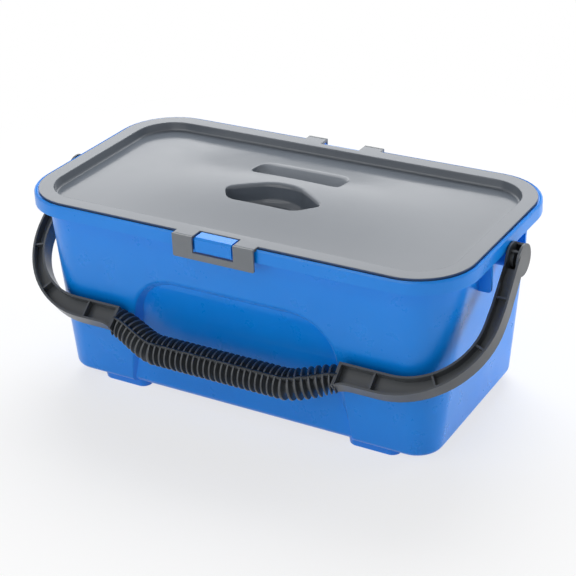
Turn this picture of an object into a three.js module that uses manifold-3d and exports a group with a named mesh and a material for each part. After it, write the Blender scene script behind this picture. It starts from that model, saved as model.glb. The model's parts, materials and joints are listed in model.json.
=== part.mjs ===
// A rectangular cleaning bucket: a blue moulded tub, a grey lid that snaps on and a dark swing handle.
// Millimetres. X runs along the long sides, Y from front to back and Z up. The origin is the middle of the
// tub's flat underside, and the four feet reach below it.

import * as THREE from 'three';
import { mergeVertices } from 'three/addons/utils/BufferGeometryUtils.js';
import Module from 'manifold-3d';

const wasm = await Module();
wasm.setup();

// Tub body: the plain tapered box below the rim
const lidHeight = 215.2; // from the tub's underside to the top of the lid's edge
const baseLength = 453;
const baseWidth = 225;
const baseCornerRadius = 28.5;
const endWallFlare = 23.25; // how far an end wall leans out on its way up to the rim
const sideWallFlare = 11.5;
const mouthCornerRadius = 56;
const baseEdgeRadius = 6;
const wall = 2.8;
const floorThickness = 3.2;

// Rim: a flange with a hanging skirt outside and a raised lip round the lid
const rimBeyondEnds = 10.25; // the rim's side, beyond the top of an end wall
const rimBeyondSides = 15;
const rimCornerRadius = 65;
const rimBandHeight = 15.8; // skirt's lower edge, below the lid's top
const rimWall = 2.4;
const rimEdgeRadius = 3.2;
const lipWidth = 4;
const lipBelowLid = 0.8;

// Lid
const lidEdgeThickness = 3;
const lidEdgeGap = 0.4; // between the lid's edge and the lip
const lidWall = 2.4;
const lidPlugGap = 0.7; // between the lid's sunken part and the tub's wall
const lidRecessDepth = 10;
const lidRecessDraft = 1.4;
const panelSwell = 11; // how far the panel rises to the grip bar
const restGap = 0.3; // clearance between pieces that rest on each other

// Finger pockets in the lid, each side of the grip bar
const frontPocketHalfLength = 56;
const frontPocketNear = -44.5; // straight front edge
const frontPocketFar = 8; // top of the curved edge, against the bar
const frontPocketDepth = 24;
const frontPocketShares = [ // right half: of the half length, and of the way from front edge to far edge
  [0.7, 0], [0.87, 0.1], [0.97, 0.3], [1, 0.42], [0.96, 0.55], [0.8, 0.72], [0.55, 0.88], [0.28, 0.97],
];
const rearPocketHalfLength = 52.8;
const rearPocketShift = -5.2; // its middle, left of the lid's
const rearPocketNear = 28.5;
const rearPocketFar = 63; // where its far slope meets the panel
const rearPocketSlope = 1.8; // how far the far slope runs in for each step down
const rearPocketDepth = 19;
const rearPocketRadiusShares = [0.2, 0.46]; // near and far corner radius, of the width at each level
const pocketDraft = 3;

// Clips: straps that fold down from the lid and snap under the lugs
const clipWidth = 96;
const clipHeight = 25.4;
const clipThickness = 2.4;
const clipFace = 5; // outer face, beyond the rim's side
const windowWidth = 48;
const barHeight = 7.5;
const notchIntoBorder = 7.3; // the window's notch in the lid's border
const hookReach = 2; // inward ridge along the bar
const clipSideGap = 0.8; // between a clip and the cut lip beside it

// Lugs on the rim that fill the clip windows
const lugSideGap = 2.5;
const lugFaceSet = 1.5; // behind the clip's outer face
const lugBackGap = 0.7;
const lugEdgeChamfer = 2.2;
const rearLugDrop = 6; // the back lug is lower, because the back notch shows none of it
const rearLipDrop = 1.2; // the rim's step down in the back window

// Arched finger recess in the front and back walls
const archBaseHalf = 142; // half width at the underside
const archShoulderX = 70;
const archShoulderZ = 83.8;
const archRadius = 61.5;
const recessTopDepth = 5.5;
const recessCreaseDepth = 12;
const recessCreaseHeight = 86.8;
const recessBaseDepth = 3.2;
const recessSideRun = 0.55; // slant of the recess's sides, sideways for each step inwards
const recessCurveShares = [[0.45, 0.3], [0.8, 0.75]]; // of the rise over the crease, and of the depth's change

// Feet
const footHeight = 10.4;
const footLength = 62;
const footWidth = 30;
const footCornerRadius = 12;
const footFromEnd = 71; // its middle, from the end of the underside
const footSet = 7; // its front face, behind the front of the underside
const footDraft = 1.6;

// Pivots and the fins beside them
const pivotBelowLid = 26.2;
const bossRadius = 9.8;
const pinRadius = 6.5;
const pinClearance = 0.3;
const pinStandOut = 1; // past the inner wall of the bail's eye
const gussetOffset = 43;
const gussetThickness = 3;
const gussetBelowLid = 46.4;
const gussetInset = 0.6; // outer edge, behind the rim's side
const gussetCornerRadius = 4;

// Bail: H-section arms and bends, measured in its own plane
const eyeGap = 1; // between the rim's side and the eye
const eyeRadius = 17;
const eyeWidth = 14.5;
const eyeRibRise = 2.3; // cross rib in the eye, above the pivot
const armInset = 3.1; // arm's inner side, beyond the eye's
const armWidth = 15.9;
const armStraight = 15.8; // the arm's straight part, between its spread and its bend
const innerEdgeDrop = 154; // pivot to the inner edge of the front run
const frontRunDepth = 22.8; // from its inner to its outer edge
const innerBendRadius = 73.5;
const outerBendRadius = 101;
const gripFlareDrop = 4; // the outer edge drops this much more to meet the grip
const gripFlareLength = 15;
const bailFront = 13.5; // front edges of the flanges, before the pivot
const bailBack = 4.5; // back edges, behind the pivot
const flange = 2.4;
const webFrontDepth = 9.5; // front edges down to the web
const web = 2.6;
const crossRib = 2;
const crossRibSet = 1.6; // rib's edge below the flange edges
const armRibDrop = 49;
const bendRibAngles = [0.31, 0.96]; // radians round the bend
const frontRibX = 174;

// Grip: round discs on a core, dipping away from the tub
const gripHalfLength = 136;
const gripFlatHalf = 80;
const gripBelowRun = 8.8; // from the front run's outer edge down to the grip's middle line
const gripRadius = 16.8;
const gripEndRadius = 16;
const gripEndBack = 0.5; // the end discs are cut flat this far behind the pivot, beside the wall
const gripCurveShare = 0.6; // how far the dip's slope is an S-curve
const discCount = 40;
const discThickness = 2.2;
const grooveDepth = 5;
const spineWidth = 2;

// Fineness of round surfaces
const cornerSteps = 10;
const discSteps = 14;
const roundSteps = 32;
const baseEdgeSteps = 4;
const rimEdgeSteps = 3;
const pocketSteps = 28;
const panelAlongSteps = 12;
const panelAcrossSteps = 6;
const panelRingShares = [0.1, 0.3, 0.5, 0.68, 0.84, 1]; // rings of the panel, of the recess's size
const overrun = 2; // how far cutters run past what they cut

// Values that follow from those above
const mouthLength = baseLength + 2 * endWallFlare; // outside of the wall, just under the rim
const mouthWidth = baseWidth + 2 * sideWallFlare;
const rimLength = mouthLength + 2 * rimBeyondEnds;
const rimWidth = mouthWidth + 2 * rimBeyondSides;
const lidLength = rimLength - 2 * (lipWidth + lidEdgeGap);
const lidWidth = rimWidth - 2 * (lipWidth + lidEdgeGap);
const lidCornerRadius = rimCornerRadius - lipWidth - lidEdgeGap;
const lidBorderWidth = (lidWidth - mouthWidth) / 2 + wall + lidPlugGap + lidWall;
const lidCrest = lidHeight - lidRecessDepth + panelSwell;
const ledgeHeight = lidHeight - lidEdgeThickness - restGap;
const rimUnderside = ledgeHeight - wall;
const skirtBottom = lidHeight - rimBandHeight;
const pivotHeight = lidHeight - pivotBelowLid;
const clipFold = rimWidth / 2 + clipFace;
const clipInner = clipFold - clipThickness;
const tabEnd = clipInner - restGap;
const notchBack = lidWidth / 2 - notchIntoBorder;
const barTop = lidHeight - clipHeight + barHeight;
const eyeInner = rimLength / 2 + eyeGap;
const eyeOuter = eyeInner + eyeWidth;
const armInner = eyeInner + armInset;
const armOuter = armInner + armWidth;
const outerEdgeDrop = innerEdgeDrop + frontRunDepth;
const gripDrop = outerEdgeDrop + gripBelowRun;
const bendDrop = outerEdgeDrop - outerBendRadius;
const armSpreadDrop = bendDrop - armStraight;
const wallSlope = (mouthWidth - baseWidth) / 2 / rimUnderside;

// Solids and meshes

function solidOf(geometry) {
  const bare = geometry.clone();
  bare.deleteAttribute('normal');
  bare.deleteAttribute('uv');
  const welded = mergeVertices(bare);
  return new wasm.Manifold(new wasm.Mesh({
    numProp: 3,
    vertProperties: new Float32Array(welded.attributes.position.array),
    triVerts: new Uint32Array(welded.index.array),
  }));
}

function geometryOf(solid) {
  const mesh = solid.getMesh();
  const geometry = new THREE.BufferGeometry();
  geometry.setAttribute('position', new THREE.BufferAttribute(mesh.vertProperties, 3));
  geometry.setIndex(new THREE.BufferAttribute(mesh.triVerts, 1));
  geometry.computeVertexNormals();
  return geometry;
}

function joined(solids) {
  return solids.reduce((whole, next) => whole.add(next));
}

// A copy turned half round about Z: what serves the front serves the back, and left serves right
function turned(geometry) {
  return geometry.clone().rotateZ(Math.PI);
}

// A closed skin over a row of outlines with equally many points, running up from the first to the last
function loft(rings) {
  const count = rings[0].length;
  const faces = [];
  for (let r = 0; r + 1 < rings.length; r++) {
    for (let k = 0; k < count; k++) {
      const a = r * count + k;
      const b = r * count + (k + 1) % count;
      faces.push(a, b, b + count, a, b + count, a + count);
    }
  }
  const points = rings.flat();
  const first = points.length;
  const last = (rings.length - 1) * count;
  for (const ring of [rings[0], rings[rings.length - 1]]) {
    const middle = new THREE.Vector3();
    ring.forEach((point) => middle.add(point));
    points.push(middle.divideScalar(count));
  }
  for (let k = 0; k < count; k++) {
    const next = (k + 1) % count;
    faces.push(first, next, k, first + 1, last + k, last + next);
  }
  const geometry = new THREE.BufferGeometry().setFromPoints(points);
  geometry.setIndex(faces);
  return geometry;
}

function extruded(shape, from, to) {
  const geometry = new THREE.ExtrudeGeometry(shape, {
    depth: to - from, bevelEnabled: false, curveSegments: cornerSteps,
  });
  return geometry.translate(0, 0, from);
}

// A shape drawn in Y and Z, extruded along X
function alongX(shape, from, to) {
  const basis = new THREE.Matrix4().makeBasis(
    new THREE.Vector3(0, 1, 0), new THREE.Vector3(0, 0, 1), new THREE.Vector3(1, 0, 0));
  return extruded(shape, from, to).applyMatrix4(basis);
}

// A shape drawn in X and Z, extruded towards the front between two distances from the middle
function towardsFront(shape, from, to) {
  return extruded(shape, from, to).rotateX(Math.PI / 2);
}

function polygon(points) {
  return new THREE.Shape(points.map(([u, v]) => new THREE.Vector2(u, v)));
}

function block(lowX, highX, lowY, highY, lowZ, highZ) {
  const geometry = new THREE.BoxGeometry(highX - lowX, highY - lowY, highZ - lowZ);
  return geometry.translate((lowX + highX) / 2, (lowY + highY) / 2, (lowZ + highZ) / 2);
}

function rodAlongX(radius, from, to) {
  const geometry = new THREE.CylinderGeometry(radius, radius, to - from, roundSteps);
  return geometry.rotateZ(Math.PI / 2).translate((from + to) / 2, 0, 0);
}

// Points round a rectangle with rounded corners, anticlockwise
function roundedRectangle(length, width, radius, alongSteps = 1, acrossSteps = 1) {
  const arc = (corner, share) => {
    const [signX, signY] = [[1, 1], [-1, 1], [-1, -1], [1, -1]][corner % 4];
    const angle = (corner + share) * Math.PI / 2;
    return new THREE.Vector2(
      signX * (length / 2 - radius) + radius * Math.cos(angle),
      signY * (width / 2 - radius) + radius * Math.sin(angle));
  };
  const points = [];
  for (let corner = 0; corner < 4; corner++) {
    for (let k = 0; k <= cornerSteps; k++) points.push(arc(corner, k / cornerSteps));
    const steps = corner % 2 ? acrossSteps : alongSteps;
    for (let k = 1; k < steps; k++) points.push(arc(corner, 1).lerp(arc(corner + 1, 0), k / steps));
  }
  return points;
}

function level(outline, height) {
  return outline.map((point) => new THREE.Vector3(point.x, point.y, height));
}

// Tub

// The outside of the tub's wall at a height, set inwards by inset
function wallRing(height, inset) {
  const share = height / rimUnderside;
  const length = THREE.MathUtils.lerp(baseLength, mouthLength, share) - 2 * inset;
  const width = THREE.MathUtils.lerp(baseWidth, mouthWidth, share) - 2 * inset;
  const radius = THREE.MathUtils.lerp(baseCornerRadius, mouthCornerRadius, share) - inset;
  return level(roundedRectangle(length, width, radius), height);
}

function rimRing(height, inset) {
  const outline = roundedRectangle(rimLength - 2 * inset, rimWidth - 2 * inset, rimCornerRadius - inset);
  return level(outline, height);
}

// Rings that round a bottom edge into the wall
function bottomEdgeRings(bottom, radius, inset) {
  const rings = [];
  for (let k = 0; k <= baseEdgeSteps; k++) {
    const angle = k / baseEdgeSteps * Math.PI / 2;
    const height = bottom + radius * (1 - Math.cos(angle));
    rings.push(wallRing(height, inset + radius * (1 - Math.sin(angle))));
  }
  return rings;
}

function tubOutside() {
  const rings = bottomEdgeRings(0, baseEdgeRadius, 0);
  rings.push(wallRing(rimUnderside, 0));
  rings.push(rimRing(rimUnderside, rimWall));
  rings.push(rimRing(skirtBottom, rimWall));
  rings.push(rimRing(skirtBottom, 0));
  const lipTop = lidHeight - lipBelowLid;
  for (let k = 0; k <= rimEdgeSteps; k++) {
    const angle = k / rimEdgeSteps * Math.PI / 2;
    const height = lipTop - rimEdgeRadius * (1 - Math.sin(angle));
    rings.push(rimRing(height, rimEdgeRadius * (1 - Math.cos(angle))));
  }
  rings.push(rimRing(lipTop, lipWidth));
  rings.push(rimRing(ledgeHeight, lipWidth));
  return loft(rings);
}

function tubCavity() {
  const rings = bottomEdgeRings(floorThickness, baseEdgeRadius - wall, wall);
  rings.push(wallRing(rimUnderside, wall));
  rings.push(level(roundedRectangle(
    mouthLength - 2 * wall, mouthWidth - 2 * wall, mouthCornerRadius - wall), lidHeight + overrun));
  return loft(rings);
}

function wallHalfWidthAt(height) {
  return baseWidth / 2 + wallSlope * height;
}

// Outline of the arch in X and Z, grown outwards by growth
function archOutline(growth) {
  const low = -overrun - Math.abs(growth);
  const radius = archRadius + growth;
  const points = [new THREE.Vector2(archBaseHalf + growth, low)];
  for (let k = 0; k <= cornerSteps; k++) {
    const angle = k / cornerSteps * Math.PI / 2;
    points.push(new THREE.Vector2(
      archShoulderX + radius * Math.cos(angle), archShoulderZ + radius * Math.sin(angle)));
  }
  const mirrored = points.map((point) => new THREE.Vector2(-point.x, point.y)).reverse();
  return [...points, ...mirrored];
}

// The recess as a solid: an arch with slanting sides, cut off by the recess's folded back.
// With growth it is the hump that the recess makes inside the tub.
function fingerRecess(growth) {
  const faceDistance = (baseWidth + mouthWidth) / 4;
  const inner = baseWidth / 2 - 2 * recessCreaseDepth;
  const outer = mouthWidth / 2 + overrun;
  const at = (distance) => {
    const outline = archOutline(growth + (distance - faceDistance) * recessSideRun);
    return level(outline, distance);
  };
  const arch = loft([at(inner), at(outer)]).rotateX(Math.PI / 2);
  const archTop = archShoulderZ + archRadius;
  const rise = archTop - recessCreaseHeight;
  const profile = [];
  for (let k = 0; k <= rimEdgeSteps; k++) {
    const angle = k / rimEdgeSteps * Math.PI / 2;
    const height = k ? baseEdgeRadius * (1 - Math.cos(angle)) : -overrun;
    profile.push([height, recessBaseDepth + baseEdgeRadius * (1 - Math.sin(angle))]);
  }
  profile.push([recessCreaseHeight, recessCreaseDepth]);
  for (const [up, change] of recessCurveShares) {
    const depth = THREE.MathUtils.lerp(recessCreaseDepth, recessTopDepth, change);
    profile.push([recessCreaseHeight + rise * up, depth]);
  }
  profile.push([archTop + 2 * archRadius, recessTopDepth]);
  const floorLine = profile.map(([height, depth]) => [-(wallHalfWidthAt(height) - depth - growth), height]);
  const top = floorLine[floorLine.length - 1][1];
  const far = -(outer + overrun);
  const slab = alongX(polygon([[far, -2 * overrun], [floorLine[0][0], -2 * overrun], ...floorLine,
    [far, top]]), -archBaseHalf - archRadius, archBaseHalf + archRadius);
  return solidOf(arch).intersect(solidOf(slab));
}

function fingerRecesses(growth) {
  const front = fingerRecess(growth);
  return front.add(solidOf(turned(geometryOf(front))));
}

function lugBlock(drop) {
  const face = clipFold - lugFaceSet;
  const back = notchBack + lugBackGap;
  const top = lidHeight - lipBelowLid - drop;
  const section = polygon([
    [-face, skirtBottom], [-back, skirtBottom], [-back, top],
    [-face + lugEdgeChamfer, top], [-face, top - lugEdgeChamfer],
  ]);
  const half = windowWidth / 2 - lugSideGap;
  return alongX(section, -half, half);
}

function gusset(offset) {
  const reach = rimLength / 2 - gussetInset;
  const bottom = lidHeight - gussetBelowLid;
  const root = baseLength / 2;
  const shape = new THREE.Shape();
  shape.moveTo(root, bottom);
  shape.lineTo(reach - gussetCornerRadius, bottom);
  shape.absarc(reach - gussetCornerRadius, bottom + gussetCornerRadius, gussetCornerRadius,
    -Math.PI / 2, 0, false);
  shape.lineTo(reach, rimUnderside + wall / 2);
  shape.lineTo(root, rimUnderside + wall / 2);
  return towardsFront(shape, offset - gussetThickness / 2, offset + gussetThickness / 2);
}

// The round boss under the rim and the pin that the bail's eye turns on
function pivotBoss() {
  const boss = rodAlongX(bossRadius, baseLength / 2, eyeInner - restGap);
  const pin = rodAlongX(pinRadius, baseLength / 2, eyeInner + flange + pinStandOut);
  return [boss, pin].map((rod) => rod.translate(0, 0, pivotHeight));
}

function foot(centreX, centreY) {
  const ring = (height, inset) => {
    const outline = roundedRectangle(
      footLength - 2 * inset, footWidth - 2 * inset, footCornerRadius - inset);
    return level(outline, height);
  };
  const edge = footDraft / 2;
  const body = loft([
    ring(-footHeight, footDraft + edge), ring(-footHeight + edge, footDraft), ring(floorThickness / 2, 0),
  ]);
  return body.translate(centreX, centreY, 0);
}

function buildTub() {
  const half = clipWidth / 2 + clipSideGap;
  const lipBack = -lidWidth / 2 - lidEdgeGap / 2;
  const lipCut = block(-half, half, -rimWidth / 2 - overrun, lipBack, ledgeHeight, lidHeight + overrun);
  const windowCut = block(-windowWidth / 2, windowWidth / 2, -rimWidth / 2 - overrun, lipBack,
    ledgeHeight - rearLipDrop, lidHeight);
  const inside = solidOf(tubCavity()).subtract(fingerRecesses(wall));
  let tub = solidOf(tubOutside()).subtract(fingerRecesses(0)).subtract(solidOf(lipCut));
  tub = tub.subtract(solidOf(turned(lipCut))).subtract(solidOf(turned(windowCut)));
  tub = tub.add(solidOf(lugBlock(0))).add(solidOf(turned(lugBlock(rearLugDrop))));
  const ends = [gusset(gussetOffset), gusset(-gussetOffset), ...pivotBoss()];
  for (const piece of ends) {
    tub = tub.add(solidOf(piece)).add(solidOf(turned(piece)));
  }
  const footX = baseLength / 2 - footFromEnd;
  const footY = baseWidth / 2 - footSet - footWidth / 2;
  for (const [signX, signY] of [[1, 1], [-1, 1], [-1, -1], [1, -1]]) {
    tub = tub.add(solidOf(foot(signX * footX, signY * footY)));
  }
  return geometryOf(tub.subtract(inside));
}

// Lid

// Height of the panel's top: flat at its edge, swelling to the grip bar in the middle
function panelHeight(x, y) {
  const halfLength = lidLength / 2 - lidBorderWidth - lidRecessDraft;
  const halfWidth = lidWidth / 2 - lidBorderWidth - lidRecessDraft;
  const fall = (share) => (1 - Math.min(share * share, 1)) ** 2;
  return lidHeight - lidRecessDepth + panelSwell * fall(x / halfLength) * fall(y / halfWidth);
}

function lidRing(inset, height) {
  const outline = roundedRectangle(lidLength - 2 * inset, lidWidth - 2 * inset, lidCornerRadius - inset,
    panelAlongSteps, panelAcrossSteps);
  return level(outline, height);
}

// A ring on the panel, shrunk to a share of the recess, lowered by drop under the panel's top
function panelRing(share, inset, drop) {
  return lidRing(inset, 0).map((point) => {
    const x = point.x * share;
    const y = point.y * share;
    return new THREE.Vector3(x, y, panelHeight(x, y) - drop);
  });
}

function lidShell() {
  const edge = lidEdgeGap;
  const inner = lidBorderWidth + lidRecessDraft;
  const under = panelRingShares.map((share) => panelRing(share, inner - lidWall, lidWall));
  const over = panelRingShares.map((share) => panelRing(share, inner, 0)).reverse();
  return loft([
    ...under,
    lidRing(lidBorderWidth - lidWall, lidHeight - lidEdgeThickness),
    lidRing(0, lidHeight - lidEdgeThickness),
    lidRing(0, lidHeight - edge),
    lidRing(edge, lidHeight),
    lidRing(lidBorderWidth - edge, lidHeight),
    lidRing(lidBorderWidth, lidHeight - edge),
    ...over,
  ]);
}

// Outline of the front pocket: straight at the front, slanting ends, one long curve against the bar
function frontPocketOutline() {
  const right = frontPocketShares.map(([across, away]) => new THREE.Vector2(
    across * frontPocketHalfLength, THREE.MathUtils.lerp(frontPocketNear, frontPocketFar, away)));
  const left = right.map((point) => new THREE.Vector2(-point.x, point.y)).reverse();
  const top = new THREE.Vector2(0, frontPocketFar);
  return new THREE.SplineCurve([...right, top, ...left]).getPoints(pocketSteps);
}

// Outline of the rear pocket with its far edge at far, drawn in elsewhere by inset
function rearPocketOutline(far, inset) {
  const near = rearPocketNear + inset / 2;
  const half = rearPocketHalfLength - inset;
  const [nearRadius, farRadius] = rearPocketRadiusShares.map((share) => share * (far - near));
  const shape = new THREE.Shape();
  shape.absarc(half - nearRadius, near + nearRadius, nearRadius, -Math.PI / 2, 0, false);
  shape.absarc(half - farRadius, far - farRadius, farRadius, 0, Math.PI / 2, false);
  shape.absarc(farRadius - half, far - farRadius, farRadius, Math.PI / 2, Math.PI, false);
  shape.absarc(nearRadius - half, near + nearRadius, nearRadius, Math.PI, Math.PI * 3 / 2, false);
  return shape.getPoints(cornerSteps).map((point) => point.add(new THREE.Vector2(rearPocketShift, 0)));
}

// An outline stretched about the middle of its extent so that it grows by amount on every side
function grown(outline, amount) {
  const extent = new THREE.Box2().setFromPoints(outline);
  const middle = extent.getCenter(new THREE.Vector2());
  const size = extent.getSize(new THREE.Vector2());
  const stretch = new THREE.Vector2(1 + 2 * amount / size.x, 1 + 2 * amount / size.y);
  return outline.map((point) => point.clone().sub(middle).multiply(stretch).add(middle));
}

// Each pocket's depth under the crest, and its outlines at the panel, at the crest and at its floor
function pockets() {
  const front = frontPocketOutline();
  const panel = panelHeight(0, rearPocketFar);
  const farAt = (height) => rearPocketFar - rearPocketSlope * (panel - height);
  return [
    { depth: frontPocketDepth, edge: front, top: front, floor: grown(front, -pocketDraft) },
    {
      depth: rearPocketDepth,
      edge: rearPocketOutline(rearPocketFar, 0),
      top: rearPocketOutline(farAt(lidCrest), 0),
      floor: rearPocketOutline(farAt(lidCrest - rearPocketDepth), pocketDraft),
    },
  ];
}

function buildLid() {
  let lid = solidOf(lidShell());
  const hollows = [];
  for (const { depth, edge, top, floor } of pockets()) {
    const bottom = lidCrest - depth;
    const brim = grown(edge, lidWall).map(
      ({ x, y }) => new THREE.Vector3(x, y, panelHeight(x, y) - lidWall / 2));
    const cup = loft([level(grown(floor, lidWall), bottom - lidWall), brim]);
    hollows.push(loft([level(floor, bottom), level(top, lidCrest), level(top, lidCrest + overrun)]));
    lid = lid.add(solidOf(cup));
  }
  hollows.forEach((hollow) => { lid = lid.subtract(solidOf(hollow)); });
  const half = clipWidth / 2;
  const tab = block(-half, half, -tabEnd, -lidWidth / 2 + lidEdgeThickness,
    lidHeight - lidEdgeThickness, lidHeight);
  const notch = block(-windowWidth / 2, windowWidth / 2, -tabEnd - overrun, -notchBack,
    lidHeight - lidEdgeThickness - overrun, lidHeight + overrun);
  for (const piece of [tab, turned(tab)]) lid = lid.add(solidOf(piece));
  for (const piece of [notch, turned(notch)]) lid = lid.subtract(solidOf(piece));
  return geometryOf(lid);
}

// Clip: two legs and a bar round the window, with a ridge on the bar that hooks under the lug
function clipGeometry() {
  const half = clipWidth / 2;
  const windowHalf = windowWidth / 2;
  const bottom = lidHeight - clipHeight;
  const corner = clipThickness / 2;
  const strap = towardsFront(polygon([
    [-half, bottom + corner], [-half + corner, bottom], [half - corner, bottom], [half, bottom + corner],
    [half, lidHeight], [windowHalf, lidHeight], [windowHalf, barTop], [-windowHalf, barTop],
    [-windowHalf, lidHeight], [-half, lidHeight],
  ]), clipInner, clipFold);
  const ridge = alongX(polygon([
    [-clipInner - clipThickness / 2, bottom + corner], [-clipInner, bottom + corner],
    [-clipInner + hookReach, barTop - barHeight / 4], [-clipInner + hookReach, barTop],
    [-clipInner - clipThickness / 2, barTop],
  ]), -windowHalf, windowHalf);
  return geometryOf(solidOf(strap).add(solidOf(ridge)));
}

// Bail, drawn in its own frame: X across, Y up the arm from the pivot, Z out of its open front

// One arm and bend in plan, from drop below the pivot to the grip, with its edges drawn in by inset
function armShape(inset, drop, end) {
  const outerCentre = armOuter - outerBendRadius;
  const innerCentre = armInner - innerBendRadius;
  const innerDrop = innerEdgeDrop - innerBendRadius;
  const flareEnd = gripHalfLength + gripFlareLength;
  const spread = drop / armSpreadDrop;
  const shape = new THREE.Shape();
  shape.moveTo(THREE.MathUtils.lerp(eyeInner, armInner, spread) + inset, -drop);
  shape.lineTo(armInner + inset, -armSpreadDrop);
  shape.lineTo(armInner + inset, -innerDrop);
  shape.absarc(innerCentre, -innerDrop, innerBendRadius + inset, 0, -Math.PI / 2, true);
  shape.lineTo(end, -innerEdgeDrop - inset);
  shape.lineTo(end, -outerEdgeDrop - gripFlareDrop + inset);
  shape.quadraticCurveTo(gripHalfLength + gripFlareLength / 3, -outerEdgeDrop + inset,
    flareEnd, -outerEdgeDrop + inset);
  shape.lineTo(outerCentre, -outerEdgeDrop + inset);
  shape.absarc(outerCentre, -bendDrop, outerBendRadius - inset, -Math.PI / 2, 0, false);
  shape.lineTo(armOuter - inset, -armSpreadDrop);
  shape.lineTo(THREE.MathUtils.lerp(eyeOuter, armOuter, spread) - inset, -drop);
  return shape;
}

// A cross rib between the flanges at a point on the run, turned to stand square to it
function crossRibBlock(x, y, angle, low) {
  const length = outerEdgeDrop - innerEdgeDrop;
  const rib = block(-length / 2, length / 2, -crossRib / 2, crossRib / 2, low, bailFront - crossRibSet);
  return rib.rotateZ(angle).translate(x, y, 0);
}

function armSolid() {
  const end = gripHalfLength - discThickness;
  const whole = solidOf(extruded(armShape(0, 0, end), -bailBack, bailFront));
  const webFront = bailFront - webFrontDepth;
  const channel = armShape(flange, eyeRadius - 2 * flange, gripHalfLength + flange / 2);
  const front = solidOf(extruded(channel, webFront, bailFront + overrun));
  const back = solidOf(extruded(channel, -bailBack - overrun, webFront - web));
  const midX = (armInner + armOuter) / 2;
  const bendRadius = (innerBendRadius + outerBendRadius) / 2;
  const bendX = midX - bendRadius;
  const bendY = -(innerEdgeDrop + outerEdgeDrop) / 2 + bendRadius;
  const ribs = [crossRibBlock(midX, -armRibDrop, 0, webFront - web / 2)];
  for (const angle of bendRibAngles) {
    ribs.push(crossRibBlock(
      bendX + bendRadius * Math.cos(angle), bendY - bendRadius * Math.sin(angle), -angle,
      webFront - web / 2));
  }
  const runY = -(innerEdgeDrop + outerEdgeDrop) / 2;
  ribs.push(crossRibBlock(frontRibX, runY, Math.PI / 2, webFront - web / 2));
  const ribbing = joined(ribs.map(solidOf)).intersect(whole);
  return whole.subtract(front).subtract(back).add(ribbing);
}

// The eye: a round end to the channel, open to the front, with a hole in its inner flange for the pin
function eyeSolid() {
  const webFront = bailFront - webFrontDepth;
  const whole = solidOf(rodAlongX(eyeRadius, eyeInner, eyeOuter));
  const inside = solidOf(rodAlongX(eyeRadius - flange, eyeInner + flange, eyeOuter - flange));
  const mouth = solidOf(block(eyeInner + flange, eyeOuter - flange, -2 * eyeRadius, eyeRadius + overrun,
    webFront, eyeRadius + overrun));
  const hole = solidOf(rodAlongX(pinRadius + pinClearance, eyeInner - overrun, eyeInner + 2 * flange));
  const rib = solidOf(block(eyeInner + flange / 2, eyeOuter - flange / 2,
    eyeRibRise - crossRib / 2, eyeRibRise + crossRib / 2,
    pinRadius + pinClearance + crossRib, bailFront - crossRibSet));
  return { whole, cuts: joined([inside, mouth, hole]), rib };
}

// The grip at a distance from its middle: its drop below the pivot, its radius and how far back it reaches
function gripAt(x) {
  const rise = gripHalfLength - gripFlatHalf;
  const share = THREE.MathUtils.clamp((gripHalfLength - Math.abs(x)) / rise, 0, 1);
  const blend = THREE.MathUtils.lerp(share, THREE.MathUtils.smoothstep(share, 0, 1), gripCurveShare);
  const endDrop = (innerEdgeDrop + outerEdgeDrop + gripFlareDrop) / 2;
  const radius = THREE.MathUtils.lerp(gripEndRadius, gripRadius, blend);
  const back = THREE.MathUtils.lerp(gripEndBack, 2 * gripRadius, blend);
  return { drop: THREE.MathUtils.lerp(endDrop, gripDrop, blend), radius, back };
}

// A ring of points round the grip's middle line, standing square to it
function gripRing(x, inset) {
  const { drop, radius, back } = gripAt(x);
  const step = discThickness;
  const slope = (gripAt(x - step).drop - gripAt(x + step).drop) / (2 * step);
  const lean = Math.atan(slope);
  const ring = [];
  for (let k = 0; k < discSteps; k++) {
    const angle = (k + 0.5) / discSteps * 2 * Math.PI;
    const up = (radius - inset) * Math.cos(angle);
    const out = (radius - inset) * Math.sin(angle);
    ring.push(new THREE.Vector3(
      x - up * Math.sin(lean), -drop + up * Math.cos(lean), Math.max(bailFront - radius + out, -back)));
  }
  return ring;
}

function gripSolid() {
  const pitch = (2 * gripHalfLength - discThickness) / (discCount - 1);
  const rings = [];
  for (let disc = 0; disc < discCount; disc++) {
    const left = -gripHalfLength + disc * pitch;
    const right = left + discThickness;
    if (disc > 0) rings.push(gripRing(left, grooveDepth));
    rings.push(gripRing(left, 0));
    rings.push(gripRing(right, 0));
    if (disc < discCount - 1) rings.push(gripRing(right, grooveDepth));
  }
  return solidOf(loft(rings));
}

// The ridge along the front of the grip that ties the discs together
function gripSpine() {
  const half = spineWidth / 2;
  const rings = [];
  const steps = discCount;
  for (let k = 0; k <= steps; k++) {
    const x = THREE.MathUtils.lerp(-gripHalfLength, gripHalfLength, k / steps);
    const { drop, radius } = gripAt(x);
    const top = bailFront;
    const low = bailFront - radius;
    rings.push([[half, low], [half, top], [-half, top], [-half, low]].map(
      ([up, out]) => new THREE.Vector3(x, -drop + up, out)));
  }
  return solidOf(loft(rings));
}

function buildBail() {
  const eye = eyeSolid();
  const arm = armSolid();
  const side = arm.add(eye.whole).subtract(eye.cuts).add(eye.rib);
  const plate = solidOf(block(gripHalfLength - discThickness, gripHalfLength,
    -outerEdgeDrop - gripFlareDrop, -innerEdgeDrop, -bailBack, bailFront));
  const right = geometryOf(side.add(plate));
  const left = mirroredInX(right);
  return geometryOf(joined([solidOf(right), solidOf(left), gripSolid(), gripSpine()]));
}

function mirroredInX(geometry) {
  const copy = geometry.clone().scale(-1, 1, 1);
  const index = copy.index.array;
  for (let k = 0; k < index.length; k += 3) [index[k], index[k + 1]] = [index[k + 1], index[k]];
  return copy;
}

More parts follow.
